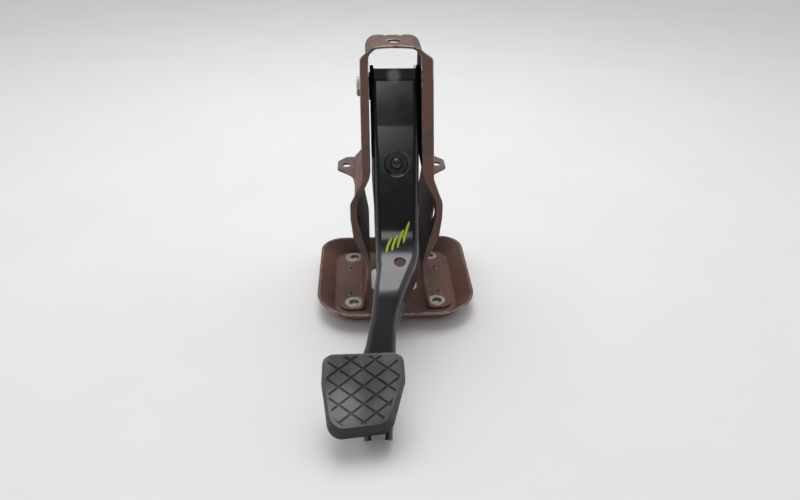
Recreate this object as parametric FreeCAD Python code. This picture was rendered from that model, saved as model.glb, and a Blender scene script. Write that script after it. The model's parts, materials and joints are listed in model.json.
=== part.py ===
import FreeCAD, Part
import math
import os

V = FreeCAD.Vector

# Frame: origin at the middle of the four-stud pattern on the mounting face, +Z away from that face,
# the pad hangs towards -Y, +X is the right-hand side seen from the pad.

# Sheet thicknesses and general clearances
pan_sheet = 2.0
arch_sheet = 2.5
arm_sheet = 3.0
plate_sheet = 3.0
running_clearance = 0.05    # radial, bush on sleeve
side_clearance = 0.3        # each bush flange to its cheek
bolt_clearance = 0.25       # radial, bolt in sleeve and cheeks

# Base pan: a shallow pressed tray with flared walls
stud_pitch_x = 85.0
stud_pitch_y = 85.0
stud_hole_d = 9.0
pan_half_width = 63.0
pan_front = 66.0            # floor ahead of the stud pattern's middle
pan_rear = 54.0
pan_depth = 18.0
flare_side = 16.0
flare_front = 16.5
flare_rear = 8.5
pan_front_corner_r = 24.0
pan_rear_corner_r = 16.0
pan_bend_r = 5.0
pan_opening_half = 24.0     # across
pan_opening_length = 46.0
pan_opening_y = 2.0
pan_opening_r = 9.0

# Arch: half widths of the inner wall face and the heights where it changes
pinch_half = 24.5
pinch_z = 57.0
bulge_half = 36.2
bulge_low_z = 106.0
bulge_high_z = 124.0
neck_z = 146.0
foot_half = 31.0
foot_outer = 57.0
foot_corner_r = 11.0
top_bend_r = 8.0
foot_bend_r = 5.0

# Arch seen from the side
bridge_front = -5.0
bridge_rear = 41.0
shoulder_drop = 10.0        # lip corner below the bridge
knee_y = -50.0
knee_z = 135.0
foot_front = -54.0
foot_rear = 50.0
ear_rear = 80.0
ear_root = 14.0             # cheek below the ear at its rear end
ear_stand = 1.0             # cheek above the ear at its rear end
hollow_rear = 39.0          # rear edge between the ears and the bridge
hollow_z = 133.0
foot_rise = 12.0            # straight rear edge above the foot
waist_z = 45.0
waist_rear = 46.0

front_radii = [0, 12.0, 25.0, 20.0, 0]    # shoulder, knee and shin of the front edge
side_corner_r = 6.0
hollow_r = 25.0
cheek_radii = [40.0, 30.0, 30.0, 24.0]    # pinch, lower bulge, upper bulge and neck

# Front lips, turned outwards
lip_left_outer = 31.0
lip_right_outer = 34.0
lip_bulge_width = 6.3
lip_low_z = 88.0
lip_corner_half = 20.6
lip_corner_drop = 1.0
lip_run_out = 4.0           # lip ends this far below the pinch
lip_start = 1.0             # lip width at the pinch
lip_low_draw = 2.0          # lip drawn in at the foot of the bulge
lip_lag = 3.0               # lip's upper corners below those of the cheek
lip_radii = [0, 0, 20.0, 12.0, 12.0, 8.0, 4.0, 0]    # from the pinch up to the bridge

# Bridge cut-outs
bridge_hole_d = 12.0
bridge_arch_rise = 6.0
notch_spacing = 14.0
notch_width = 3.0
notch_depth = 3.0
tongue_setback = 1.0

# Upper fixing ears
ear_z = 110.0               # upper face
ear_hole_d = 9.0
ear_hole_pitch = 96.0
ear_hole_y = 61.0
ear_end_r = 9.5
ear_length = 21.0           # behind the hole
ear_neck_reach = 26.0       # hollow curve ahead of the hole
ear_root_reach = 60.0
ear_neck_width = 5.0
ear_root_width = 1.0
ear_corner_r = 6.0
ear_neck_r = 20.0

# Opening in the right cheek
switch_opening_d = 16.0
switch_opening_y = -33.0
switch_opening_z = 104.0

# Raised pips on the feet
pip_d = 7.5
pip_height = 2.2
pip_root = 0.5              # sunk into the foot
pip_x = 48.0
pip_front_y = -27.0
pip_rear_y = 19.0

# Pivot
pivot_y = 18.0
pivot_z = 209.0
bridge_above_pivot = 41.0   # upper face of the bridge over the axis
bolt_d = 10.0
bolt_head_flats = 16.0
bolt_head_height = 6.4
bolt_flange_d = 20.0
bolt_flange_height = 2.2
nut_height = 6.5
nut_flange_d = 20.0
nut_flange_height = 1.5
bolt_end = 1.5              # thread standing out of the nut
bolt_tip_chamfer = 0.8
hexagon_face_share = 0.97   # round face of a head or nut, as a share of its flats
hexagon_cone = 60.0         # degrees, turned corners from the axis
sleeve_wall = 2.5
bush_wall = 2.0
bush_flange_d = 25.0
bush_flange_height = 1.0
bush_length = 13.0
tube_wall = 2.0

# Pedal arm: side view of the web's front face, from the top edge to the lower end
arm_top = (pivot_y - 20.0, pivot_z + 25.0)
arm_neck = (pivot_y - 24.0, pivot_z + 13.0)
arm_bend = (pivot_y - 44.0, pivot_z - 22.0)
arm_knee = (-83.0, 98.0)
arm_shelf = (-132.0, 82.0)
arm_toe = (-178.0, 53.0)
arm_radii = [0, 14.0, 60.0, 45.0, 45.0, 45.0, 0]    # bends at these corners
arm_back_radii = [0, 60.0, 40.0, 40.0, 17.0, 17.0]  # rear edge of the side walls, from the lower end up
toe_slope = 37.0            # degrees below level, under the pad
toe_length = 64.0
arm_boss_back = 19.0        # flange behind the pivot
arm_boss_top = 14.0         # flange above the pivot
arm_boss_low = 8.0          # straight rear edge below the pivot
arm_depth_knee = 28.0
arm_depth_shelf = 22.0
arm_depth_toe = 16.0
arm_depth_end = 15.0
arm_edge_r = 6.0
edge_search = 3.0           # an edge this near the web's faces is one of its long edges
horn_height = 3.0           # flange corners standing above the web's top edge

# Pedal arm: half widths and offsets seen from above
arm_top_half = 21.9
arm_body_half = 20.6         # below the bend under the pivot
arm_knee_left = (-19.8, -104.0)
arm_waist_left = (-25.0, -143.0)
arm_toe_left = (-30.5, -166.0)
arm_flare_left = (-38.0, -182.0)
arm_end_left = -31.0
arm_knee_right = (17.9, -92.0)
arm_waist_right = (-4.6, -147.0)
arm_toe_right = (-6.5, -178.0)
arm_end_right = -12.5
arm_sweep_r = 60.0
arm_flare_r = 14.0
arm_taper = 16.0            # length over which the sides draw in at the bend
arm_end_run = 10.0          # plan outline beyond the lower end
arm_back_run = 20.0         # plan outline behind the pivot's flange
arm_cavity_run = 30.0       # hollow beyond the lower end and the flange
arm_cavity_low = -60.0
horn_lean = 1.0             # web's inner face leans back at the top edge
horn_cut_depth = 12.0       # gap between the flange corners
horn_cut_front = 8.0
horn_cut_height = 20.0

# Details on the arm
drill_reach = 15.0          # each way from the web's front face
drain_hole_d = 10.5
drain_hole_y = -101.6
drain_hole_x = 0.5
recess_d = 25.0
recess_floor_d = 19.0
recess_depth = 2.5
recess_y = -43.9
pin_shank_d = 9.0
pin_head_d = 11.0
pin_head_height = 3.6
pin_neck_d = 7.0
pin_collar_width = 2.0
pin_collar_height = 2.0
pin_collar_slope = 1.0
ball_d = 12.0
ball_reach = 19.0           # ball centre behind the web's front face

# Pad: outline on the tread face, across and down from the middle of the top edge
pad_middle_x = -32.6
pad_set_down = -0.8         # tread's top edge below the toe bend, along the slope
pad_top_half = 29.6
pad_wide_half = 30.6
pad_wide_down = 21.0
pad_bottom_left = -24.5
pad_bottom_right = 18.5
pad_bottom_rise = 4.0       # right end of the lower edge above the left end
pad_height = 57.5
pad_cover = 7.0             # rubber over the plate
pad_corner_r = 7.0
pad_hip_r = 16.0
pad_lower_corner_r = 12.0
pad_rim_r = 1.2
pad_flare_side = 2.5
pad_flare_top = 1.0
pad_flare_bottom = 6.7
plate_inset = 4.5
tread_across = 19.0
tread_along = 13.4
tread_groove = 1.7
tread_shift = 3.4           # lattice up the slope from the pad's middle
tread_depth = 1.8
tread_border = 2.2


# Two-dimensional outlines with rounded corners

def on_xz(p):
    return V(p[0], 0, p[1])


def on_yz(p):
    return V(0, p[0], p[1])


def on_xy(p):
    return V(p[0], p[1], 0)


def mirrored(points):
    return [(-x, z) for x, z in reversed(points)]


def corner_arc(before, corner, after, radius):
    """Start, middle and end of the arc that rounds a corner."""
    a = (before - corner).normalize()
    b = (after - corner).normalize()
    half = a.getAngle(b) / 2
    reach = radius / math.tan(half)
    bisector = (a + b).normalize()
    middle = corner + bisector * (radius / math.sin(half) - radius)
    return corner + a * reach, middle, corner + b * reach


def rounded(points, radii, place, closed=True):
    """Wire through points, each corner rounded by its own radius, 0 for a sharp one."""
    corners = [place(p) for p in points]
    count = len(corners)
    edges = []
    stops = []
    for i, corner in enumerate(corners):
        inner = closed or 0 < i < count - 1
        if inner and radii[i] > 0:
            stops.append(corner_arc(corners[i - 1], corner, corners[(i + 1) % count], radii[i]))
        else:
            stops.append((corner, None, corner))
    for i, (start, middle, end) in enumerate(stops):
        if middle is not None:
            edges.append(Part.Arc(start, middle, end).toShape())
        if i + 1 < count or closed:
            following = stops[(i + 1) % count][0]
            if end.distanceToPoint(following) > 1e-6:
                edges.append(Part.makeLine(end, following))
    return Part.Wire(edges)


def parallel(points, distance):
    """Points of the line that runs at a distance to the left of an open line."""
    shifted = []
    for i, (x, y) in enumerate(points):
        normals = []
        for j in (i - 1, i):
            if 0 <= j < len(points) - 1:
                dx = points[j + 1][0] - points[j][0]
                dy = points[j + 1][1] - points[j][1]
                length = math.hypot(dx, dy)
                normals.append((-dy / length, dx / length))
        nx = sum(n[0] for n in normals)
        ny = sum(n[1] for n in normals)
        scale = distance * len(normals) / (nx * nx + ny * ny)
        shifted.append((x + nx * scale, y + ny * scale))
    return shifted


def turns_left(points, i):
    ax = points[i][0] - points[i - 1][0]
    ay = points[i][1] - points[i - 1][1]
    bx = points[i + 1][0] - points[i][0]
    by = points[i + 1][1] - points[i][1]
    return ax * by - ay * bx > 0


def strip(points, radii, thickness, place):
    """Face of a bent sheet whose right-hand surface follows an open line."""
    other = parallel(points, thickness)
    other_radii = []
    for i, radius in enumerate(radii):
        inner = 0 < i < len(points) - 1
        step = 0 if not inner or radius == 0 else -thickness if turns_left(points, i) else thickness
        other_radii.append(radius + step)
    outline = list(points) + list(reversed(other))
    return Part.Face(rounded(outline, list(radii) + list(reversed(other_radii)), place))


def along_x(face, start, end):
    return face.translated(V(start, 0, 0)).extrude(V(end - start, 0, 0))


def along_y(face, start, end):
    return face.translated(V(0, start, 0)).extrude(V(0, end - start, 0))


def along_z(face, start, end):
    return face.translated(V(0, 0, start)).extrude(V(0, 0, end - start))


def hole_z(x, y, diameter, start, end):
    return Part.makeCylinder(diameter / 2, end - start, V(x, y, start), V(0, 0, 1))


def rod_x(start, end, diameter):
    """Round bar on the pivot axis."""
    return Part.makeCylinder(diameter / 2, end - start, V(start, pivot_y, pivot_z), V(1, 0, 0))


def hexagon_x(start, end, flats):
    """Six-sided prism on the pivot axis."""
    corner = flats / math.sqrt(3)
    points = []
    for i in range(6):
        angle = math.radians(60 * i)
        points.append((pivot_y + corner * math.cos(angle), pivot_z + corner * math.sin(angle)))
    return along_x(Part.Face(rounded(points, [0] * 6, on_yz)), start, end)


def chamfered_hexagon_x(start, end, flats, cone_at_start):
    """Bolt head or nut body with the corners turned off on its outer face."""
    prism = hexagon_x(start, end, flats)
    corner = flats / math.sqrt(3)
    rise = end - start
    small = flats / 2 * hexagon_face_share
    wide = small + rise * math.tan(math.radians(hexagon_cone))
    if cone_at_start:
        cone = Part.makeCone(small, wide, rise, V(start, pivot_y, pivot_z), V(1, 0, 0))
    else:
        cone = Part.makeCone(small, wide, rise, V(end, pivot_y, pivot_z), V(-1, 0, 0))
    return prism.common(cone) if wide > corner else prism


def studs():
    half_x = stud_pitch_x / 2
    half_y = stud_pitch_y / 2
    return [(x, y) for x in (-half_x, half_x) for y in (-half_y, half_y)]


reach = 400.0               # longer than the whole part, for through cuts
margin = 1.0                # how far a cut or a trimmed sheet runs past the face it opens
top_z = pivot_z + bridge_above_pivot
channel_half = arm_top_half + bush_flange_height + side_clearance    # inner face of the cheeks at the pivot
foot_top = pan_sheet + arch_sheet


# Base pan

def pan_outline(grow, z):
    """Rounded floor outline, grown towards the rim by a share of the flare."""
    side = pan_half_width + flare_side * grow
    front = -pan_front - flare_front * grow
    rear = pan_rear + flare_rear * grow
    front_r = pan_front_corner_r + flare_side * grow
    rear_r = pan_rear_corner_r + flare_rear * grow
    points = [(-side, front), (side, front), (side, rear), (-side, rear)]
    wire = rounded(points, [front_r, front_r, rear_r, rear_r], on_xy)
    return wire.translated(V(0, 0, z))


def make_base_pan():
    body = Part.makeLoft([pan_outline(0, 0), pan_outline(1, pan_depth)], True, True)
    floor_edges = [e for e in body.Edges if e.BoundBox.ZMax < 0.01]
    body = body.makeFillet(pan_bend_r, floor_edges)
    mouth = [f for f in body.Faces if f.BoundBox.ZMin > pan_depth - 0.01]
    pan = body.makeThickness(mouth, -pan_sheet, 1e-3)
    near = pan_opening_y - pan_opening_length / 2
    far = pan_opening_y + pan_opening_length / 2
    opening = [(-pan_opening_half, near), (pan_opening_half, near),
               (pan_opening_half, far), (-pan_opening_half, far)]
    pan = pan.cut(along_z(Part.Face(rounded(opening, [pan_opening_r] * 4, on_xy)), -margin, pan_depth))
    for x, y in studs():
        pan = pan.cut(hole_z(x, y, stud_hole_d, -margin, pan_depth))
    return pan


# Bracket arch: cheeks, bridge, feet, lips and ears bent from one sheet

def arch_half_line():
    """Inner face of one side, from the foot's end up to the bridge."""
    points = [(foot_outer, pan_sheet), (foot_half, pan_sheet), (pinch_half, pinch_z),
              (bulge_half, bulge_low_z), (bulge_half, bulge_high_z),
              (channel_half, neck_z), (channel_half, top_z - arch_sheet)]
    radii = [0, foot_bend_r + arch_sheet] + cheek_radii + [top_bend_r]
    return points, radii


def front_line():
    """Front edge of the cheeks, from the bridge down to the feet."""
    return [(bridge_front, top_z + margin), (bridge_front, top_z - shoulder_drop), (knee_y, knee_z),
            (foot_front, pinch_z), (foot_front, 0)]


def lip_half_outline(outer):
    """Outer edge of one lip in the front view, from the pinch up to the bridge."""
    bulge = bulge_half + lip_bulge_width
    return [(pinch_half, pinch_z - lip_run_out), (pinch_half + arch_sheet + lip_start, pinch_z),
            (bulge - lip_low_draw, lip_low_z), (bulge, bulge_low_z), (bulge, bulge_high_z - lip_lag),
            (outer, neck_z - lip_lag), (outer, top_z - shoulder_drop),
            (lip_corner_half, top_z - lip_corner_drop)]


def make_ears():
    """Level tabs at the back, each with one hole, running into the cheek in a hollow curve."""
    half = ear_hole_pitch / 2
    tip = half + ear_end_r
    rear = ear_hole_y + ear_length
    root = ear_hole_y - ear_root_reach
    points = [(bulge_half, rear), (half, rear), (tip, ear_hole_y + ear_end_r), (tip, ear_hole_y - ear_end_r),
              (bulge_half + ear_neck_width, ear_hole_y - ear_neck_reach),
              (bulge_half + ear_root_width, root), (bulge_half, root)]
    face = Part.Face(rounded(points, [0, ear_corner_r, ear_corner_r, ear_corner_r, ear_neck_r, 0, 0], on_xy))
    ear = along_z(face, ear_z - arch_sheet, ear_z)
    ear = ear.cut(hole_z(half, ear_hole_y, ear_hole_d, 0, top_z))
    return [ear, ear.mirror(V(0, 0, 0), V(1, 0, 0))]


def bridge_slot(x, width, depth):
    """Square cut into the rear edge of the bridge."""
    height = arch_sheet + 2 * margin
    corner = V(x - width / 2, bridge_rear - depth, top_z - arch_sheet - margin)
    return Part.makeBox(width, depth, height, corner)


def make_bracket_arch():
    half, half_radii = arch_half_line()
    inner_line = half + mirrored(half)
    radii = half_radii + list(reversed(half_radii))
    sheet = along_y(strip(list(reversed(inner_line)), radii, arch_sheet, on_xz), -reach / 2, reach / 2)
    below = [(-foot_outer, -reach), (foot_outer, -reach)]
    interior = along_y(Part.Face(rounded(inner_line + below, radii + [0, 0], on_xz)), -reach / 2, reach / 2)

    front = front_line()
    side_points = front + [(foot_rear, 0), (foot_rear, foot_rise), (waist_rear, waist_z),
                           (ear_rear, ear_z - ear_root), (ear_rear, ear_z + ear_stand),
                           (hollow_rear, hollow_z), (bridge_rear, pivot_z), (bridge_rear, top_z + margin)]
    side_radii = front_radii + [0, side_corner_r, hollow_r, side_corner_r, 0, hollow_r, hollow_r, 0]
    side = along_x(Part.Face(rounded(side_points, side_radii, on_yz)), -reach, reach)
    arch = sheet.common(side)

    lip_left = lip_half_outline(lip_left_outer)
    lip_right = lip_half_outline(lip_right_outer)
    both_radii = lip_radii + list(reversed(lip_radii))
    lip_face = Part.Face(rounded(lip_right + mirrored(lip_left), both_radii, on_xz))
    edge_face = strip(list(front), front_radii, arch_sheet, on_yz)
    lips = along_y(lip_face, -reach / 2, reach / 2).common(along_x(edge_face, -reach, reach)).cut(interior)

    arch = arch.fuse([lips] + make_ears())
    arch = arch.cut(interior.common(along_x(edge_face, -reach, reach)))

    cuts = [hole_z(x, y, stud_hole_d, -margin, foot_top + margin) for x, y in studs()]
    cuts.append(hole_z(0, pivot_y, bridge_hole_d, top_z - arch_sheet - margin, top_z + margin))
    cuts.append(rod_x(-reach, reach, bolt_d + 2 * bolt_clearance))
    arch_r = (lip_corner_half ** 2 + bridge_arch_rise ** 2) / (2 * bridge_arch_rise)
    arch_y = bridge_front + bridge_arch_rise - arch_r
    cuts.append(hole_z(0, arch_y, 2 * arch_r, top_z - arch_sheet - 2 * margin, top_z + margin))
    switch_axis = V(0, switch_opening_y, switch_opening_z)
    cuts.append(Part.makeCylinder(switch_opening_d / 2, reach, switch_axis, V(1, 0, 0)))
    for x in (-notch_spacing / 2, notch_spacing / 2):
        cuts.append(bridge_slot(x, notch_width, notch_depth))
    cuts.append(bridge_slot(0, notch_spacing, tongue_setback))
    arch = arch.cut(cuts)

    foot_corners = [e for e in arch.Edges if abs(abs(e.CenterOfMass.x) - foot_outer) < 0.01
                    and e.BoundBox.XLength < 0.01 and e.BoundBox.YLength < 0.01]
    arch = arch.makeFillet(foot_corner_r, foot_corners)

    pip_r = (pip_height ** 2 + (pip_d / 2) ** 2) / (2 * pip_height)
    for x in (-pip_x, pip_x):
        for y in (pip_front_y, pip_rear_y):
            ball = Part.makeSphere(pip_r, V(x, y, foot_top + pip_height - pip_r))
            corner = V(x - pip_d / 2, y - pip_d / 2, foot_top - pip_root)
            cap = ball.common(Part.makeBox(pip_d, pip_d, pip_d, corner))
            arch = arch.fuse(cap)
    return arch.removeSplitter()


# Pivot bolt, nut and sleeve

cheek_outer = channel_half + arch_sheet
sleeve_bore = bolt_d + 2 * bolt_clearance
sleeve_d = sleeve_bore + 2 * sleeve_wall
bush_bore = sleeve_d + 2 * running_clearance
bush_d = bush_bore + 2 * bush_wall
tube_d = bush_d + 2 * tube_wall


def make_pivot_bolt():
    end = cheek_outer + nut_height + bolt_end
    flange = rod_x(-cheek_outer - bolt_flange_height, -cheek_outer, bolt_flange_d)
    head_start = -cheek_outer - bolt_flange_height - bolt_head_height
    head = chamfered_hexagon_x(head_start, -cheek_outer, bolt_head_flats, True).fuse(flange)
    shank = rod_x(-cheek_outer, end, bolt_d)
    tip = [e for e in shank.Edges if e.BoundBox.XMin > end - 0.01]
    return head.fuse(shank.makeChamfer(bolt_tip_chamfer, tip)).removeSplitter()


def make_pivot_nut():
    flange = rod_x(cheek_outer, cheek_outer + nut_flange_height, nut_flange_d)
    body = chamfered_hexagon_x(cheek_outer, cheek_outer + nut_height, bolt_head_flats, False)
    return flange.fuse(body).cut(rod_x(-reach, reach, bolt_d)).removeSplitter()


def make_pivot_sleeve():
    return rod_x(-channel_half, channel_half, sleeve_d).cut(rod_x(-reach, reach, sleeve_bore))


# Pedal

def arm_front():
    """Front face of the web in the side view, from the top edge to the lower end."""
    slope = math.radians(toe_slope)
    end = (arm_toe[0] - toe_length * math.cos(slope), arm_toe[1] - toe_length * math.sin(slope))
    return [arm_top, arm_neck, arm_bend, arm_knee, arm_shelf, arm_toe, end]


def behind(i, depth):
    """Point at a depth behind one corner of the web, square to the line."""
    return parallel(arm_front(), depth)[i]


def arm_side_face():
    front = arm_front()
    back = [behind(6, arm_depth_end), behind(5, arm_depth_toe), behind(4, arm_depth_shelf),
            behind(3, arm_depth_knee), (pivot_y + arm_boss_back, pivot_z - arm_boss_low),
            (pivot_y + arm_boss_back, pivot_z + arm_boss_top)]
    return Part.Face(rounded(front + back, arm_radii + arm_back_radii, on_yz))


def arm_plan_face(inset):
    """Outline of the arm from above: straight beside the pivot, swept to the left towards the pad."""
    end_y = arm_front()[-1][0] - arm_end_run
    back_y = pivot_y + arm_boss_back + arm_back_run
    bend_start = arm_bend[0] + arm_taper / 2
    bend_end = arm_bend[0] - arm_taper / 2
    left = [(-arm_top_half, back_y), (-arm_top_half, bend_start), (-arm_body_half, bend_end), arm_knee_left,
            arm_waist_left, arm_toe_left, arm_flare_left, (arm_end_left, end_y)]
    right = [(arm_top_half, back_y), (arm_top_half, bend_start), (arm_body_half, bend_end), arm_knee_right,
             arm_waist_right, arm_toe_right, (arm_end_right, end_y)]
    left_radii = [0, arm_sweep_r, arm_sweep_r, arm_sweep_r, arm_sweep_r, arm_flare_r, arm_flare_r, 0]
    right_radii = [0, arm_sweep_r, arm_sweep_r, arm_sweep_r, arm_sweep_r, arm_sweep_r / 2, 0]
    outline = parallel(left, inset) + list(reversed(parallel(right, -inset)))
    return Part.Face(rounded(outline, left_radii + list(reversed(right_radii)), on_xy))


def web_point(y):
    """Point of the web's front face at a place along Y, with the outward direction there."""
    line = arm_front()
    for (y0, z0), (y1, z1) in zip(line, line[1:]):
        if y1 <= y <= y0:
            share = (y - y0) / (y1 - y0)
            length = math.hypot(y1 - y0, z1 - z0)
            return V(0, y, z0 + share * (z1 - z0)), V(0, (z1 - z0) / length, -(y1 - y0) / length)
    return None


def make_pedal_arm():
    outer = along_x(arm_side_face(), -reach, reach).common(along_z(arm_plan_face(0), -reach, reach))
    front = arm_front()
    web_line = parallel(front, arm_sheet)
    cavity_points = [(web_line[0][0] + horn_lean, top_z)] + web_line[1:-1]
    last = web_line[-1]
    slope = math.radians(toe_slope)
    past_end = (last[0] - arm_cavity_run * math.cos(slope), last[1] - arm_cavity_run * math.sin(slope))
    rear = pivot_y + arm_boss_back + arm_cavity_run
    cavity_points += [past_end, (past_end[0], arm_cavity_low), (rear, arm_cavity_low), (rear, top_z)]
    cavity_radii = [0] + arm_radii[1:-1] + [0, 0, 0, 0]
    cavity = along_x(Part.Face(rounded(cavity_points, cavity_radii, on_yz)), -reach, reach)
    cavity = cavity.common(along_z(arm_plan_face(arm_sheet), -reach, reach))

    outer = round_long_edges(outer, arm_edge_r)
    arm = outer.cut(round_long_edges(cavity, arm_edge_r - arm_sheet))
    gap_half = arm_top_half - arm_sheet
    gap_corner = V(-gap_half, arm_top[0] - horn_cut_front, arm_top[1] - horn_height)
    arm = arm.cut(Part.makeBox(2 * gap_half, horn_cut_depth, horn_cut_height, gap_corner))
    arm = arm.cut(rod_x(-reach, reach, tube_d))

    spot, outward = web_point(drain_hole_y)
    spot.x = drain_hole_x
    arm = arm.cut(Part.makeCylinder(drain_hole_d / 2, 2 * drill_reach, spot - outward * drill_reach, outward))

    spot, outward = web_point(recess_y)
    back = spot - outward * (arm_sheet + recess_depth)
    seat = Part.makeCone(recess_floor_d / 2 + arm_sheet, recess_d / 2 + arm_sheet,
                         recess_depth + arm_sheet / 2, back, outward)
    arm = arm.fuse(seat)
    floor = spot - outward * recess_depth
    arm = arm.cut(Part.makeCone(recess_floor_d / 2, recess_d / 2, recess_depth, floor, outward))
    arm = arm.cut(Part.makeCylinder(pin_shank_d / 2, 2 * drill_reach, spot - outward * drill_reach, outward))
    return arm.removeSplitter()


def round_long_edges(solid, radius):
    """Rounds the two long edges between the web and the side walls."""
    front = arm_front()
    chosen = []
    for edge in solid.Edges:
        middle = edge.valueAt((edge.FirstParameter + edge.LastParameter) / 2)
        if edge.BoundBox.YLength < 0.5 and edge.BoundBox.ZLength < 0.5:
            continue
        found = web_point(middle.y)
        if found is None or middle.y > arm_neck[0] - margin:
            continue
        spot, outward = found
        offset = (middle - spot).dot(outward)
        if -arm_sheet - edge_search < offset < edge_search and middle.y > front[-1][0]:
            chosen.append(edge)
    return solid.makeFillet(radius, chosen)


def make_pivot_tube():
    return rod_x(-arm_top_half, arm_top_half, tube_d).cut(rod_x(-reach, reach, bush_d))


def make_bush(side):
    """Flanged plastic bush, pushed into the pivot tube from one side."""
    seat = arm_top_half
    body = rod_x(seat - bush_length, seat, bush_d).fuse(rod_x(seat, seat + bush_flange_height, bush_flange_d))
    bush = body.cut(rod_x(-reach, reach, bush_bore)).removeSplitter()
    return bush if side > 0 else bush.mirror(V(0, 0, 0), V(1, 0, 0))


def make_ball_pin():
    """Turned pin: domed rivet head on the front, shank through the web, ball behind it."""
    spot, outward = web_point(recess_y)
    floor = spot - outward * recess_depth
    dome_r = (pin_head_height ** 2 + (pin_head_d / 2) ** 2) / (2 * pin_head_height)
    ball_middle = -ball_reach + recess_depth
    meet = ball_middle + math.sqrt((ball_d / 2) ** 2 - (pin_neck_d / 2) ** 2)
    half_way = math.asin(pin_head_d / 2 / dome_r) / 2
    crown = (0, pin_head_height)
    on_dome = (dome_r * math.sin(half_way), pin_head_height - dome_r * (1 - math.cos(half_way)))
    collar = pin_shank_d / 2 + pin_collar_width
    under_collar = -arm_sheet - pin_collar_height
    corners = [(pin_head_d / 2, 0), (pin_shank_d / 2, 0), (pin_shank_d / 2, -arm_sheet), (collar, -arm_sheet),
               (collar, under_collar), (pin_neck_d / 2, under_collar - pin_collar_slope),
               (pin_neck_d / 2, meet)]
    ball_end = (0, ball_middle - ball_d / 2)
    edges = [Part.Arc(on_xz(crown), on_xz(on_dome), on_xz(corners[0])).toShape()]
    edges += [Part.makeLine(on_xz(a), on_xz(b)) for a, b in zip(corners, corners[1:])]
    edges.append(Part.Arc(on_xz(corners[-1]), on_xz((ball_d / 2, ball_middle)), on_xz(ball_end)).toShape())
    edges.append(Part.makeLine(on_xz(ball_end), on_xz(crown)))
    pin = Part.Face(Part.Wire(edges)).revolve(V(0, 0, 0), V(0, 0, 1), 360)
    pin.Placement = FreeCAD.Placement(floor, FreeCAD.Rotation(V(0, 0, 1), outward))
    return pin


# Pad

def pad_points(grow_side, grow_top, grow_bottom):
    """Tread outline in the pad's own plane, X across and Y up the slope from the middle of the top edge."""
    top = pad_top_half + grow_side
    wide = pad_wide_half + grow_side
    down = -pad_height - grow_bottom
    return [(-top, grow_top), (top, grow_top), (wide, -pad_wide_down),
            (pad_bottom_right + grow_side, down + pad_bottom_rise), (pad_bottom_left - grow_side, down),
            (-wide, -pad_wide_down)]


def pad_wire(grow_side, grow_top, grow_bottom, height):
    radii = [pad_corner_r, pad_corner_r, pad_hip_r, pad_lower_corner_r, pad_lower_corner_r, pad_hip_r]
    wire = rounded(pad_points(grow_side, grow_top, grow_bottom), radii, on_xy)
    return wire.translated(V(0, 0, height))


def pad_placement():
    """Pad plane: its back lies on the web below the toe bend."""
    along = FreeCAD.Rotation(V(1, 0, 0), toe_slope)
    top_edge = V(pad_middle_x, arm_toe[0], arm_toe[1]) - along.multVec(V(0, pad_set_down, 0))
    return FreeCAD.Placement(top_edge, along)


def make_pad_plate():
    plate = along_z(Part.Face(pad_wire(-plate_inset, -plate_inset, -plate_inset, 0)), 0, plate_sheet)
    plate.Placement = pad_placement()
    return plate


def tread_grooves():
    """Two families of straight grooves that cross as a diamond lattice, inside a plain border."""
    angle = math.degrees(math.atan2(tread_along, tread_across))
    spacing = tread_across * math.sin(math.radians(angle))
    top = plate_sheet + pad_cover
    length = 4 * pad_wide_half
    groove_count = math.ceil(pad_height / spacing)
    bars = []
    for sign in (1, -1):
        for i in range(-groove_count, groove_count + 1):
            bar = Part.makeBox(length, tread_groove, tread_depth + margin,
                               V(-length / 2, i * spacing - tread_groove / 2, top - tread_depth))
            bar.rotate(V(0, 0, 0), V(0, 0, 1), sign * angle)
            bars.append(bar.translated(V(0, tread_shift - pad_height / 2, 0)))
    field = along_z(Part.Face(pad_wire(-tread_border, -tread_border, -tread_border, 0)), 0, top + margin)
    return bars[0].fuse(bars[1:]).common(field)


def make_pad_rubber():
    top = plate_sheet + pad_cover
    block = Part.makeLoft([pad_wire(pad_flare_side, pad_flare_top, pad_flare_bottom, 0),
                           pad_wire(0, 0, 0, top)], True, True)
    rim = [e for e in block.Edges if e.BoundBox.ZMin > top - 0.01]
    block = block.makeFillet(pad_rim_r, rim)
    pocket = along_z(Part.Face(pad_wire(-plate_inset, -plate_inset, -plate_inset, 0)), -margin, plate_sheet)
    rubber = block.cut(pocket).cut(tread_grooves())
    rubber.Placement = pad_placement()
    return rubber


nodes = {
    "base_pan": make_base_pan,
    "bracket_arch": make_bracket_arch,
    "pivot_bolt": make_pivot_bolt,
    "pivot_nut": make_pivot_nut,
    "pivot_sleeve": make_pivot_sleeve,
    "pedal_arm": make_pedal_arm,
    "pivot_tube": make_pivot_tube,
    "bush_left": lambda: make_bush(-1),
    "bush_right": lambda: make_bush(1),
    "ball_pin": make_ball_pin,
    "pad_plate": make_pad_plate,
    "pad_rubber": make_pad_rubber,
}

os.makedirs("parts", exist_ok=True)
for name, make in nodes.items():
    shape = make()
    box = shape.optimalBoundingBox()
    print("%-16s solids %d valid %s volume %.0f  x %.1f..%.1f  y %.1f..%.1f  z %.1f..%.1f" % (
        name, len(shape.Solids), shape.isValid(), shape.Volume, box.XMin, box.XMax, box.YMin, box.YMax,
        box.ZMin, box.ZMax))
    shape.exportStep("parts/%s.step" % name)
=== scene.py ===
import json
import math
import bmesh
import bpy
from mathutils import Matrix, Vector
from mathutils.bvhtree import BVHTree


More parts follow.
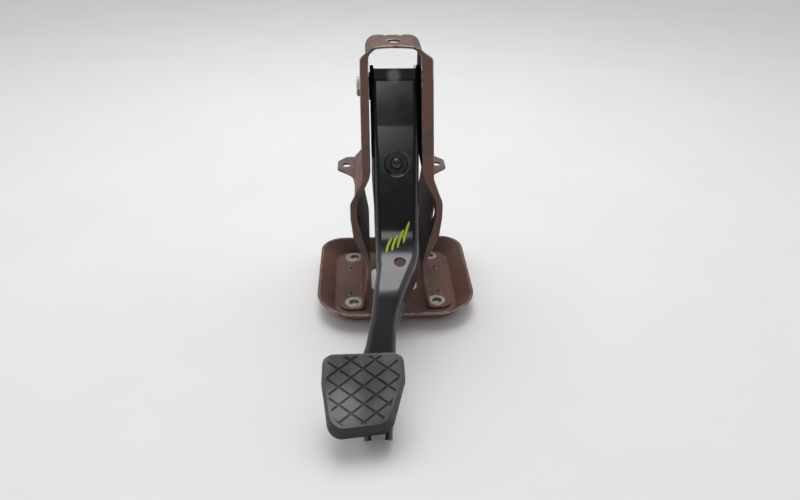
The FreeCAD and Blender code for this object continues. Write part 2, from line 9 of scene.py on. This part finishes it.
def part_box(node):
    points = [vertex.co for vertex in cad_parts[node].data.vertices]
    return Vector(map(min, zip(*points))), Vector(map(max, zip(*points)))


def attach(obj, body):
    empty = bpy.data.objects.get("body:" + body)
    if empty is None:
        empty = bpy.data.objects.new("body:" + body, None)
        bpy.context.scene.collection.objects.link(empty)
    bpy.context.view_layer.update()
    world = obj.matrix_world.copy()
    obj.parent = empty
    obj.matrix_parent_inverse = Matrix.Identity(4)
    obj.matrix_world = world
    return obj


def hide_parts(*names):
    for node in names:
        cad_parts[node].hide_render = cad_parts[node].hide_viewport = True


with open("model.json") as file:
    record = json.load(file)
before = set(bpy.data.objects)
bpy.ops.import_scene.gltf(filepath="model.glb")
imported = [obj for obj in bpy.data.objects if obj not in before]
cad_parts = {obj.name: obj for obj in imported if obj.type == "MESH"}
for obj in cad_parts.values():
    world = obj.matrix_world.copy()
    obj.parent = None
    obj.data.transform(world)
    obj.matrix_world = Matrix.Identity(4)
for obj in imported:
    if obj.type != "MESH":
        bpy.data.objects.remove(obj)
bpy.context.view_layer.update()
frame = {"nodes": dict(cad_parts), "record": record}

mm = 0.001


# shader helpers: a value may be a socket or a plain number

def startMaterial(name):
    material = bpy.data.materials.new(name)
    material.use_nodes = True
    tree = material.node_tree
    return material, tree, tree.nodes["Principled BSDF"]


def feed(tree, socket, value):
    if isinstance(value, bpy.types.NodeSocket):
        tree.links.new(value, socket)
    else:
        socket.default_value = value


def coords(tree):
    return tree.nodes.new("ShaderNodeTexCoord").outputs["Object"]


def stretched(tree, vector, scale):
    node = tree.nodes.new("ShaderNodeMapping")
    tree.links.new(vector, node.inputs["Vector"])
    node.inputs["Scale"].default_value = scale
    return node.outputs["Vector"]


def noise(tree, vector, size, detail=4.0, rough=0.55, warp=0.0):
    node = tree.nodes.new("ShaderNodeTexNoise")   # size is the blotch size in mm
    tree.links.new(vector, node.inputs["Vector"])
    node.inputs["Scale"].default_value = 1 / (size * mm)
    node.inputs["Detail"].default_value = detail
    node.inputs["Roughness"].default_value = rough
    node.inputs["Distortion"].default_value = warp
    return node.outputs["Fac"]


def calc(tree, operation, a, b=0.0, clamp=False):
    node = tree.nodes.new("ShaderNodeMath")
    node.operation = operation
    node.use_clamp = clamp
    feed(tree, node.inputs[0], a)
    feed(tree, node.inputs[1], b)
    return node.outputs[0]


def remap(tree, value, low, high, toLow=0.0, toHigh=1.0):
    node = tree.nodes.new("ShaderNodeMapRange")
    node.interpolation_type = "SMOOTHSTEP"
    feed(tree, node.inputs["Value"], value)
    feed(tree, node.inputs["From Min"], low)
    feed(tree, node.inputs["From Max"], high)
    feed(tree, node.inputs["To Min"], toLow)
    feed(tree, node.inputs["To Max"], toHigh)
    return node.outputs["Result"]


def ramp(tree, value, stops):
    node = tree.nodes.new("ShaderNodeValToRGB")
    tree.links.new(value, node.inputs["Fac"])
    while len(node.color_ramp.elements) < len(stops):
        node.color_ramp.elements.new(0.5)
    for element, (place, colour) in zip(node.color_ramp.elements, stops):
        element.position = place
        element.color = (*colour, 1)
    return node.outputs["Color"]


def blendColour(tree, share, a, b):
    node = tree.nodes.new("ShaderNodeMix")
    node.data_type = "RGBA"
    feed(tree, node.inputs["Factor"], share)
    feed(tree, node.inputs[6], a if isinstance(a, bpy.types.NodeSocket) else (*a, 1))
    feed(tree, node.inputs[7], b if isinstance(b, bpy.types.NodeSocket) else (*b, 1))
    return node.outputs[2]


def bump(tree, bsdf, height, strength, depth):
    node = tree.nodes.new("ShaderNodeBump")
    node.inputs["Strength"].default_value = strength
    node.inputs["Distance"].default_value = depth * mm
    feed(tree, node.inputs["Height"], height)
    tree.links.new(node.outputs["Normal"], bsdf.inputs["Normal"])


def awayFrom(tree, vector, place):
    away = tree.nodes.new("ShaderNodeVectorMath")      # distance from a place given in mm
    away.operation = "DISTANCE"
    tree.links.new(vector, away.inputs[0])
    away.inputs[1].default_value = [v * mm for v in place]
    return away.outputs["Value"]


def nearPlace(tree, vector, place, reach):
    return remap(tree, awayFrom(tree, vector, place), reach * mm, 0.25 * reach * mm)


def spotMask(tree, vector, spots, soft):
    total = None                      # share of pale steel round each spot, real bare metal at the holes and painted highlight at the pips: place, radius, strength
    ragged = calc(tree, "SUBTRACT", noise(tree, vector, 5.0, 5.0, 0.65), 0.5)
    edge = calc(tree, "MULTIPLY", ragged, soft * 3 * mm)     # uneven rims
    for place, radius, strength in spots:
        gap = calc(tree, "ADD", awayFrom(tree, vector, place), edge)
        mask = remap(tree, gap, radius * mm, (radius - soft) * mm, 0.0, strength)
        total = mask if total is None else calc(tree, "MAXIMUM", total, mask)
    return total


def axes(tree, vector):
    split = tree.nodes.new("ShaderNodeSeparateXYZ")
    tree.links.new(vector, split.inputs[0])
    return split.outputs


def facing(tree):
    return axes(tree, tree.nodes.new("ShaderNodeNewGeometry").outputs["Normal"])


def between(tree, value, ends, toLow=0.0, toHigh=1.0):
    return remap(tree, value, ends[0] * mm, ends[1] * mm, toLow, toHigh)      # ends are in mm


# brown dip primer on the pressed bracket

primer = {
    "brown": (0.178, 0.108, 0.093), "dark": (0.112, 0.073, 0.065), "red": (0.215, 0.100, 0.074),
    # the near-black brown here is painted shade for the cheeks' inner faces
    "paintedShade": (0.030, 0.024, 0.021), "steel": (0.30, 0.29, 0.268), "chip": (0.74, 0.71, 0.66),
    "roughness": 0.58, "ior": 1.22, "blotchSize": 38, "mottleSize": 2.2, "mottleShare": 0.25,
    "paintedShadeShare": 0.9, "paintedShadeInward": (-4, -14), "paintedShadeHeight": (18, 40),
    "scuffSize": 7, "scuffShare": 0.35, "patchSize": 3.2, "spotSoft": 1.8,
    "chipSize": 11, "chipCrown": (205, 232), "chipRim": (-58, -74), "chipLeast": 0.16, "chipRimMost": 0.7,
    "spots": [((-42.5, -42.5, 4.5), 9.8, 1.0), ((42.5, -42.5, 4.5), 9.4, 1.0),
              ((-44, 41, 4.5), 10.0, 0.9), ((43, 41, 4.5), 8.5, 0.9),
              ((-49, 61, 110), 11.0, 0.15), ((49, 61, 110), 11.0, 0.15), ((-34, 36, 12), 7.0, 0.6)],
    # painted highlights: pale steel crescents at the front edge of each pip
    "pips": [(x, y, 5.4) for x in (-48, 48) for y in (-30.2, 15.8)], "pipHighlightReach": 2.4, "pipHighlightShare": 0.9,
}


def shadedInnerFaces(tree, vector):
    place = axes(tree, vector)        # painted shade: cheek faces that look at the middle plane, above the pan
    inward = between(tree, calc(tree, "MULTIPLY", place[0], facing(tree)[0]), primer["paintedShadeInward"])
    return calc(tree, "MULTIPLY", inward, between(tree, place[2], primer["paintedShadeHeight"]))


def primerMaterial(name, edgeWear):
    material, tree, bsdf = startMaterial(name)
    place = coords(tree)
    blotch = noise(tree, place, primer["blotchSize"], 5, 0.6, 0.4)
    base = ramp(tree, blotch, [(0.32, primer["dark"]), (0.5, primer["brown"]), (0.68, primer["red"])])
    mottle = remap(tree, noise(tree, place, primer["mottleSize"], 3), 0.3, 0.7)
    base = blendColour(tree, calc(tree, "MULTIPLY", mottle, primer["mottleShare"]), base, primer["dark"])
    # painted shade: the cheeks' inner faces are blended towards a near-black brown
    innerShade = shadedInnerFaces(tree, place)
    base = blendColour(tree, calc(tree, "MULTIPLY", innerShade, primer["paintedShadeShare"]), base, primer["paintedShade"])
    # painted highlight: pale steel crescents at the pips, mixed in with the real bare rings round the
    # holes
    pipHighlights = [(pip, primer["pipHighlightReach"], primer["pipHighlightShare"]) for pip in primer["pips"]]
    bareAndPipHighlight = spotMask(tree, place, primer["spots"] + pipHighlights, primer["spotSoft"])
    drawn = stretched(tree, place, (1, 0.35, 1))
    scuff = remap(tree, noise(tree, drawn, primer["scuffSize"], 6, 0.7), 0.70, 0.76)
    bareAndPipHighlight = calc(tree, "MAXIMUM", bareAndPipHighlight, calc(tree, "MULTIPLY", scuff, primer["scuffShare"]))
    patchy = remap(tree, noise(tree, place, primer["patchSize"], 5, 0.7), 0.30, 0.52, 0.45, 1.0)
    bareAndPipHighlight = calc(tree, "MULTIPLY", bareAndPipHighlight, patchy)
    if edgeWear:
        least = primer["chipLeast"]
        crown = between(tree, axes(tree, place)[2], primer["chipCrown"], least)
        frontRim = between(tree, axes(tree, place)[1], primer["chipRim"], least, primer["chipRimMost"])
        worn = calc(tree, "MULTIPLY", calc(tree, "MAXIMUM", crown, frontRim), edgeWear)
        chips = remap(tree, noise(tree, place, primer["chipSize"], 6, 0.7), 0.42, 0.56)
        base = blendColour(tree, calc(tree, "MULTIPLY", chips, worn), base, primer["chip"])
    feed(tree, bsdf.inputs["Base Color"], blendColour(tree, bareAndPipHighlight, base, primer["steel"]))
    feed(tree, bsdf.inputs["Metallic"], calc(tree, "MULTIPLY", bareAndPipHighlight, 0.85))
    rough = primer["roughness"]
    gloss = remap(tree, noise(tree, place, 14, 4), 0.25, 0.75, rough - 0.08, rough + 0.1)
    gloss = calc(tree, "ADD", gloss, calc(tree, "MULTIPLY", innerShade, 0.3), clamp=True)
    feed(tree, bsdf.inputs["Roughness"], calc(tree, "SUBTRACT", gloss, calc(tree, "MULTIPLY", bareAndPipHighlight, 0.14)))
    bsdf.inputs["IOR"].default_value = primer["ior"]
    waves = calc(tree, "MULTIPLY", noise(tree, place, 9, 3), 2.0)
    bump(tree, bsdf, calc(tree, "ADD", noise(tree, place, 0.9, 3), waves), 0.2, 0.2)
    return material


# black stoved paint on the arm

enamel = {
    "black": (0.0075, 0.0075, 0.0085), "film": (0.011, 0.011, 0.013), "dust": (0.30, 0.285, 0.30),
    "roughness": 0.17, "ior": 1.62, "filmSize": 22, "dustSize": 28, "dustShare": (0.12, 0.24),
    # the pale grey here is a painted highlight, a soft round spot on the arm's neck
    "paintedHighlight": (0.165, 0.165, 0.180), "highlightPlace": (-1, -5, 226), "highlightReach": 8.5,
}


def enamelMaterial():
    material, tree, bsdf = startMaterial("blackEnamel")
    place = coords(tree)
    film = noise(tree, place, enamel["filmSize"], 4)
    base = ramp(tree, film, [(0.3, enamel["black"]), (0.7, enamel["film"])])
    up = remap(tree, facing(tree)[2], 0.86, 0.95)
    haze = remap(tree, noise(tree, place, enamel["dustSize"], 3), 0.3, 0.7, *enamel["dustShare"])
    dust = calc(tree, "MULTIPLY", up, haze)
    # painted highlight: a lamp's reflection painted as a pale round spot on the arm's neck
    paintedHighlight = nearPlace(tree, place, enamel["highlightPlace"], enamel["highlightReach"])
    base = blendColour(tree, paintedHighlight, base, enamel["paintedHighlight"])
    feed(tree, bsdf.inputs["Base Color"], blendColour(tree, dust, base, enamel["dust"]))
    rough = enamel["roughness"]
    gloss = remap(tree, noise(tree, place, 18, 4), 0.25, 0.75, rough - 0.03, rough + 0.04)
    feed(tree, bsdf.inputs["Roughness"], calc(tree, "ADD", gloss, calc(tree, "MULTIPLY", dust, 0.3)))
    bsdf.inputs["IOR"].default_value = enamel["ior"]
    bump(tree, bsdf, noise(tree, place, 2.4, 2), 0.012, 0.1)
    return material


# bright zinc on the bolt and nut

zinc = {"colour": (0.60, 0.60, 0.56), "dull": (0.36, 0.35, 0.31), "metal": 0.9, "roughness": (0.28, 0.5)}


def zincMaterial():
    material, tree, bsdf = startMaterial("brightZinc")
    place = coords(tree)
    tone = noise(tree, place, 4, 5, 0.6)
    feed(tree, bsdf.inputs["Base Color"], ramp(tree, tone, [(0.35, zinc["dull"]), (0.62, zinc["colour"])]))
    bsdf.inputs["Metallic"].default_value = zinc["metal"]
    gloss = remap(tree, noise(tree, place, 1.5, 4), 0.3, 0.7, *zinc["roughness"])
    feed(tree, bsdf.inputs["Roughness"], gloss)
    bump(tree, bsdf, noise(tree, place, 0.6, 3), 0.15, 0.1)
    return material


# moulded rubber of the tread

tread = {
    # the near-black here is painted shade for the pad's side faces
    "wall": (0.016, 0.016, 0.016), "black": (0.074, 0.074, 0.072), "worn": (0.140, 0.140, 0.137),
    "dust": (0.16, 0.155, 0.15), "dustMost": 0.25, "roughness": (0.46, 0.66),
    # padHighlight is a painted highlight that lightens the tread's lower-left blocks
    "padHighlight": (0.300, 0.300, 0.304), "padHighlightPlace": (-50, -214, 34), "padHighlightReach": 25,
    "padHighlightShare": 0.8,
}


def treadMaterial():
    material, tree, bsdf = startMaterial("treadRubber")
    place = coords(tree)
    wear = remap(tree, noise(tree, place, 16, 5, 0.6), 0.35, 0.7)
    base = blendColour(tree, wear, tread["black"], tread["worn"])
    # painted highlight: the tread's lower-left blocks are lightened
    paintedHighlight = nearPlace(tree, place, tread["padHighlightPlace"], tread["padHighlightReach"])
    paintedHighlight = calc(tree, "MULTIPLY", paintedHighlight, tread["padHighlightShare"])
    base = blendColour(tree, paintedHighlight, base, tread["padHighlight"])
    # painted shade: faces that turn away from upward are darkened to near black
    wall = remap(tree, facing(tree)[2], 0.66, 0.45)
    base = blendColour(tree, wall, base, tread["wall"])
    dirt = remap(tree, noise(tree, place, 1.2, 5, 0.7), 0.60, 0.74, 0.0, tread["dustMost"])
    feed(tree, bsdf.inputs["Base Color"], blendColour(tree, dirt, base, tread["dust"]))
    gloss = remap(tree, noise(tree, place, 7, 4), 0.3, 0.7, *tread["roughness"])
    feed(tree, bsdf.inputs["Roughness"], gloss)
    waves = calc(tree, "MULTIPLY", noise(tree, place, 3, 3), 0.8)
    bump(tree, bsdf, calc(tree, "ADD", noise(tree, place, 0.45, 3), waves), 0.3, 0.2)
    return material


# grey moulded bushes

bush = {"dark": (0.028, 0.029, 0.029), "grey": (0.05, 0.05, 0.05), "roughness": (0.45, 0.6)}


def bushMaterial():
    material, tree, bsdf = startMaterial("bushPlastic")
    place = coords(tree)
    tone = noise(tree, place, 3, 4)
    feed(tree, bsdf.inputs["Base Color"], ramp(tree, tone, [(0.3, bush["dark"]), (0.7, bush["grey"])]))
    feed(tree, bsdf.inputs["Roughness"], remap(tree, tone, 0.3, 0.7, *bush["roughness"]))
    bump(tree, bsdf, noise(tree, place, 0.4, 2), 0.2, 0.1)
    return material


brown = primerMaterial("brownPrimer", 0.0)
brownEdge = primerMaterial("brownPrimerEdge", 0.9)
black = enamelMaterial()
zincFinish = zincMaterial()
rubber = treadMaterial()
bushFinish = bushMaterial()
print("materials made")


# copies of the solids with their sharp edges broken

edges = {"mergeGap": 0.004, "flatAngle": 0.4, "sharpAngle": 32, "segments": 2, "overshoot": 0.5}


def bakeModifiers(piece):
    bpy.context.view_layer.update()
    shown = piece.evaluated_get(bpy.context.evaluated_depsgraph_get())
    piece.data = bpy.data.meshes.new_from_object(shown)
    piece.modifiers.clear()


def surfaceOf(mesh):
    return BVHTree.FromPolygons([v.co for v in mesh.vertices], [p.vertices for p in mesh.polygons])


def brokenEdges(node, body, width, materials, clamp=True):
    source = frame["nodes"][node]
    sharp = math.radians(edges["sharpAngle"])
    mesh = bpy.data.meshes.new(node + "Skin")
    work = bmesh.new()
    work.from_mesh(source.data)
    bmesh.ops.remove_doubles(work, verts=work.verts, dist=edges["mergeGap"] * mm)
    flatAngle = math.radians(edges["flatAngle"])
    bmesh.ops.dissolve_limit(work, angle_limit=flatAngle, verts=work.verts, edges=work.edges)
    work.to_mesh(mesh)
    work.free()
    piece = bpy.data.objects.new(node + "Skin", mesh)
    bpy.context.scene.collection.objects.link(piece)
    bevel = piece.modifiers.new("edges", "BEVEL")
    bevel.width = width * mm
    bevel.segments = edges["segments"]
    bevel.limit_method = "ANGLE"
    bevel.angle_limit = sharp
    bevel.use_clamp_overlap = clamp
    bevel.material = len(materials) - 1
    mesh.materials.clear()
    for material in materials:
        mesh.materials.append(material)
    bakeModifiers(piece)
    surface = surfaceOf(mesh)
    for vertex in piece.data.vertices:
        hit, normal, face, gap = surface.find_nearest(vertex.co)
        if gap > edges["overshoot"] * width * mm:      # an overshot corner goes back to the surface
            vertex.co = hit
    piece.data.shade_smooth()
    piece.data.set_sharp_from_angle(angle=sharp)
    flat = piece.modifiers.new("flatFaces", "WEIGHTED_NORMAL")      # wide faces stay flat beside bends
    flat.keep_sharp = True
    bakeModifiers(piece)
    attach(piece, body)
    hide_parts(node)
    return piece


brokenEdges("bracket_arch", "bracket", 0.6, [brown, brownEdge], clamp=False)
brokenEdges("base_pan", "bracket", 0.6, [brown, brownEdge], clamp=False)
armSkin = brokenEdges("pedal_arm", "pedal", 0.5, [black, black])
brokenEdges("pad_rubber", "pedal", 0.45, [rubber, rubber])
brokenEdges("pivot_bolt", "bracket", 0.25, [zincFinish, zincFinish])
brokenEdges("pivot_nut", "bracket", 0.25, [zincFinish, zincFinish])
print("pressed pieces dressed")

finishes = {
    "pivot_sleeve": zincFinish, "pivot_tube": black, "bush_left": bushFinish, "bush_right": bushFinish,
    "ball_pin": black, "pad_plate": black,
}
for node, finish in finishes.items():
    mesh = frame["nodes"][node].data
    mesh.materials.clear()
    mesh.materials.append(finish)
print("small pieces finished")


# slanted paint-pen strokes across the arm's web, laid on the surface from above

penMark = {
    "colour": (0.50, 0.58, 0.035), "thinShare": 0.7, "width": 2.3, "film": 0.10, "edgeSink": 0.02,
    "steps": 28, "across": 6, "sway": 0.9, "taper": 0.35, "tipShare": 0.05, "rayStart": 400,
    "strokes": [((-11.0, -92.0), (-5.5, -80.5)), ((-6.0, -90.5), (-0.5, -79.0)),
                ((-1.0, -88.0), (5.0, -76.0)), ((4.5, -84.5), (10.5, -72.0))],
}


def penMaterial():
    material, tree, bsdf = startMaterial("paintPen")
    place = coords(tree)
    tone = noise(tree, place, 2.0, 4)
    thin = [penMark["thinShare"] * c for c in penMark["colour"]]
    feed(tree, bsdf.inputs["Base Color"], ramp(tree, tone, [(0.3, thin), (0.6, penMark["colour"])]))
    feed(tree, bsdf.inputs["Roughness"], remap(tree, tone, 0.3, 0.7, 0.35, 0.6))
    bump(tree, bsdf, noise(tree, place, 0.5, 3), 0.2, 0.05)
    return material


def makePenMarks():
    surface = surfaceOf(armSkin.data)
    work = bmesh.new()
    down = Vector((0, 0, -1))
    for (x0, y0), (x1, y1) in penMark["strokes"]:
        along = Vector((x1 - x0, y1 - y0))
        side = Vector((-along.y, along.x)).normalized()
        rows = []
        for i in range(penMark["steps"] + 1):
            t = i / penMark["steps"]
            swell = (4 * t * (1 - t)) ** penMark["taper"] + penMark["tipShare"]
            half = penMark["width"] / 2 * min(1.0, swell)
            middle = Vector((x0, y0)) + along * t + side * penMark["sway"] * math.sin(math.pi * t)
            row = []
            for j in range(penMark["across"] + 1):
                spot = (middle + side * half * (2 * j / penMark["across"] - 1)) * mm
                above = Vector((spot.x, spot.y, penMark["rayStart"] * mm))
                hit, normal, face, gap = surface.ray_cast(above, down)
                edge = j in (0, penMark["across"])
                lift = -penMark["edgeSink"] if edge else penMark["film"]
                row.append(work.verts.new(hit + normal * lift * mm))
            rows.append(row)
        for a, b in zip(rows, rows[1:]):
            for j in range(penMark["across"]):
                work.faces.new((a[j], a[j + 1], b[j + 1], b[j]))
    bmesh.ops.recalc_face_normals(work, faces=work.faces)
    mesh = bpy.data.meshes.new("penMarks")
    work.to_mesh(mesh)
    work.free()
    if sum(p.normal.z * p.area for p in mesh.polygons) < 0:
        mesh.flip_normals()
    thick = bpy.data.objects.new("penMarks", mesh)
    bpy.context.scene.collection.objects.link(thick)
    solid = thick.modifiers.new("film", "SOLIDIFY")
    solid.thickness = 2 * penMark["film"] * mm
    solid.offset = -1
    bakeModifiers(thick)
    thick.data.shade_smooth()
    thick.data.materials.clear()
    thick.data.materials.append(penMaterial())
    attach(thick, "pedal")


makePenMarks()
print("pen marks laid")


# ring of weld ripples where the pivot tube passes through each wall of the arm

weld = {
    "ringRadius": 12.3, "rippleCount": 44, "rippleSize": 1.25, "inset": 3.3, "seed": 7,
    "leastScale": (0.85, 0.85, 0.75), "mostScale": (1.15, 1.15, 1.05),
}


def weldTree(finish, pivot):
    tree = bpy.data.node_groups.new("weldRing", "GeometryNodeTree")
    face = tree.interface
    face.new_socket("Geometry", in_out="INPUT", socket_type="NodeSocketGeometry")
    for name, kind in (("Ring Radius", "NodeSocketFloat"), ("Ripple Count", "NodeSocketInt"),
                       ("Ripple Size", "NodeSocketFloat"), ("Half Width", "NodeSocketFloat"),
                       ("Seed", "NodeSocketInt")):
        face.new_socket(name, in_out="INPUT", socket_type=kind)
    face.new_socket("Geometry", in_out="OUTPUT", socket_type="NodeSocketGeometry")
    start = tree.nodes.new("NodeGroupInput")
    end = tree.nodes.new("NodeGroupOutput")
    ring = tree.nodes.new("GeometryNodeMeshCircle")
    tree.links.new(start.outputs["Ripple Count"], ring.inputs["Vertices"])
    tree.links.new(start.outputs["Ring Radius"], ring.inputs["Radius"])
    bead = tree.nodes.new("GeometryNodeMeshIcoSphere")
    bead.inputs["Subdivisions"].default_value = 2
    tree.links.new(start.outputs["Ripple Size"], bead.inputs["Radius"])
    vary = tree.nodes.new("FunctionNodeRandomValue")
    vary.data_type = "FLOAT_VECTOR"
    vary.inputs["Min"].default_value = weld["leastScale"]
    vary.inputs["Max"].default_value = weld["mostScale"]
    tree.links.new(start.outputs["Seed"], vary.inputs["Seed"])
    spread = tree.nodes.new("GeometryNodeInstanceOnPoints")
    tree.links.new(ring.outputs["Mesh"], spread.inputs["Points"])
    tree.links.new(bead.outputs["Mesh"], spread.inputs["Instance"])
    tree.links.new(vary.outputs["Value"], spread.inputs["Scale"])
    both = tree.nodes.new("GeometryNodeJoinGeometry")
    for sign in (-1, 1):
        offset = tree.nodes.new("ShaderNodeMath")
        offset.operation = "MULTIPLY"
        offset.inputs[1].default_value = sign
        tree.links.new(start.outputs["Half Width"], offset.inputs[0])
        place = tree.nodes.new("ShaderNodeCombineXYZ")
        place.inputs["Y"].default_value = pivot.y
        place.inputs["Z"].default_value = pivot.z
        tree.links.new(offset.outputs[0], place.inputs["X"])
        put = tree.nodes.new("GeometryNodeTransform")
        put.inputs["Rotation"].default_value = (0, math.pi / 2, 0)
        tree.links.new(spread.outputs["Instances"], put.inputs["Geometry"])
        tree.links.new(place.outputs["Vector"], put.inputs["Translation"])
        tree.links.new(put.outputs["Geometry"], both.inputs["Geometry"])
    real = tree.nodes.new("GeometryNodeRealizeInstances")
    paint = tree.nodes.new("GeometryNodeSetMaterial")
    paint.inputs["Material"].default_value = finish
    tree.links.new(both.outputs["Geometry"], real.inputs["Geometry"])
    tree.links.new(real.outputs["Geometry"], paint.inputs["Geometry"])
    tree.links.new(paint.outputs["Geometry"], end.inputs["Geometry"])
    return tree


def makeWeldRings():
    holder = bpy.data.objects.new("tubeWelds", bpy.data.meshes.new("tubeWelds"))
    bpy.context.scene.collection.objects.link(holder)
    nodes = holder.modifiers.new("ripples", "NODES")
    pivot = Vector(frame["record"]["behaviour"]["joints"][0]["pos_m"])
    nodes.node_group = weldTree(black, pivot)
    low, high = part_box("pivot_tube")
    halfWidth = high[0] - weld["inset"] * mm
    sizes = {"Ring Radius": weld["ringRadius"] * mm, "Ripple Count": weld["rippleCount"],
             "Ripple Size": weld["rippleSize"] * mm, "Half Width": halfWidth, "Seed": weld["seed"]}
    for item in nodes.node_group.interface.items_tree:
        if item.in_out == "INPUT" and item.name in sizes:
            nodes[item.identifier] = sizes[item.name]
    bakeModifiers(holder)
    holder.data.shade_smooth()
    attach(holder, "pedal")


makeWeldRings()
print("tube welds set")


# floor, light and camera

studio = {
    "floor": (0.91, 0.905, 0.892), "floorRadius": 9.0, "floorSides": 96, "floorMottle": 160,
    "floorShade": 0.97, "floorRoughness": 0.6,
    "pale": (0.86, 0.86, 0.85), "shaded": (0.10, 0.10, 0.105), "bright": (0.94, 0.95, 0.97),
    "horizonTop": 0.18, "ceilingStart": 0.38, "shadeFront": -0.55, "shadeRear": 0.35, "world": 0.88,
    "lampPlace": (-0.05, 0.48, 1.25), "lampSize": 1.0, "lampPower": 8.0,
    "panelPlace": (-0.10, -1.10, 1.50), "panelSize": 0.55, "panelPower": 2.1,
    "aim": (0, -0.06, 0.08),
}


def makeFloor():
    mesh = bpy.data.meshes.new("paleFloor")
    work = bmesh.new()
    bmesh.ops.create_circle(work, cap_ends=True, segments=studio["floorSides"],
                            radius=studio["floorRadius"])
    work.to_mesh(mesh)
    work.free()
    floor = bpy.data.objects.new("paleFloor", mesh)
    bpy.context.scene.collection.objects.link(floor)
    material, tree, bsdf = startMaterial("paleFloor")
    tone = noise(tree, coords(tree), studio["floorMottle"], 3)
    shade = [studio["floorShade"] * c for c in studio["floor"]]
    feed(tree, bsdf.inputs["Base Color"], ramp(tree, tone, [(0.3, shade), (0.7, studio["floor"])]))
    bsdf.inputs["Roughness"].default_value = studio["floorRoughness"]
    mesh.materials.append(material)


def makeLight():
    for name in ("lamp", "panel"):
        lamp = bpy.data.lights.new(name + "Disc", "AREA")
        lamp.shape = "DISK"
        lamp.size = studio[name + "Size"]
        lamp.energy = studio[name + "Power"]
        holder = bpy.data.objects.new(name + "Disc", lamp)
        holder.location = studio[name + "Place"]
        aim = Vector(studio["aim"]) - Vector(studio[name + "Place"])
        holder.rotation_euler = aim.to_track_quat("-Z", "Y").to_euler()
        bpy.context.scene.collection.objects.link(holder)
    world = bpy.data.worlds.new("paleRoom")
    world.use_nodes = True
    tree = world.node_tree
    way = axes(tree, tree.nodes.new("ShaderNodeTexCoord").outputs["Generated"])
    high = remap(tree, way[2], studio["horizonTop"], studio["ceilingStart"])
    rear = remap(tree, way[1], studio["shadeFront"], studio["shadeRear"])
    overhead = blendColour(tree, rear, studio["shaded"], studio["bright"])
    background = tree.nodes["Background"]
    tree.links.new(blendColour(tree, high, studio["pale"], overhead), background.inputs["Color"])
    background.inputs["Strength"].default_value = studio["world"]
    bpy.context.scene.world = world


viewPoint = {
    "place": (-26.0, -547.6, 390.0), "pitch": 32.6, "yaw": 3.4, "roll": 0.6,
    "focalPixels": 618.0, "imageWidth": 800, "sensorWidth": 36.0, "clipStart": 0.01,
}


def makeCamera():
    pitch, yaw, roll = (math.radians(viewPoint[k]) for k in ("pitch", "yaw", "roll"))
    right = Vector((math.cos(yaw), -math.sin(yaw), 0))
    level = Vector((math.sin(yaw), math.cos(yaw), 0))
    forward = level * math.cos(pitch) - Vector((0, 0, math.sin(pitch)))
    up = right.cross(forward)
    tiltedRight = right * math.cos(roll) + up * math.sin(roll)
    tiltedUp = up * math.cos(roll) - right * math.sin(roll)
    lens = bpy.data.cameras.new("photoView")
    lens.sensor_width = viewPoint["sensorWidth"]
    lens.lens = viewPoint["sensorWidth"] * viewPoint["focalPixels"] / viewPoint["imageWidth"]
    lens.clip_start = viewPoint["clipStart"]
    camera = bpy.data.objects.new("photoView", lens)
    turn = Matrix((tiltedRight, tiltedUp, -forward)).transposed().to_4x4()
    camera.matrix_world = Matrix.Translation(Vector(viewPoint["place"]) * mm) @ turn
    bpy.context.scene.collection.objects.link(camera)
    bpy.context.scene.camera = camera


makeFloor()
makeLight()
makeCamera()
bpy.context.scene.view_settings.view_transform = "Standard"
print("studio ready")
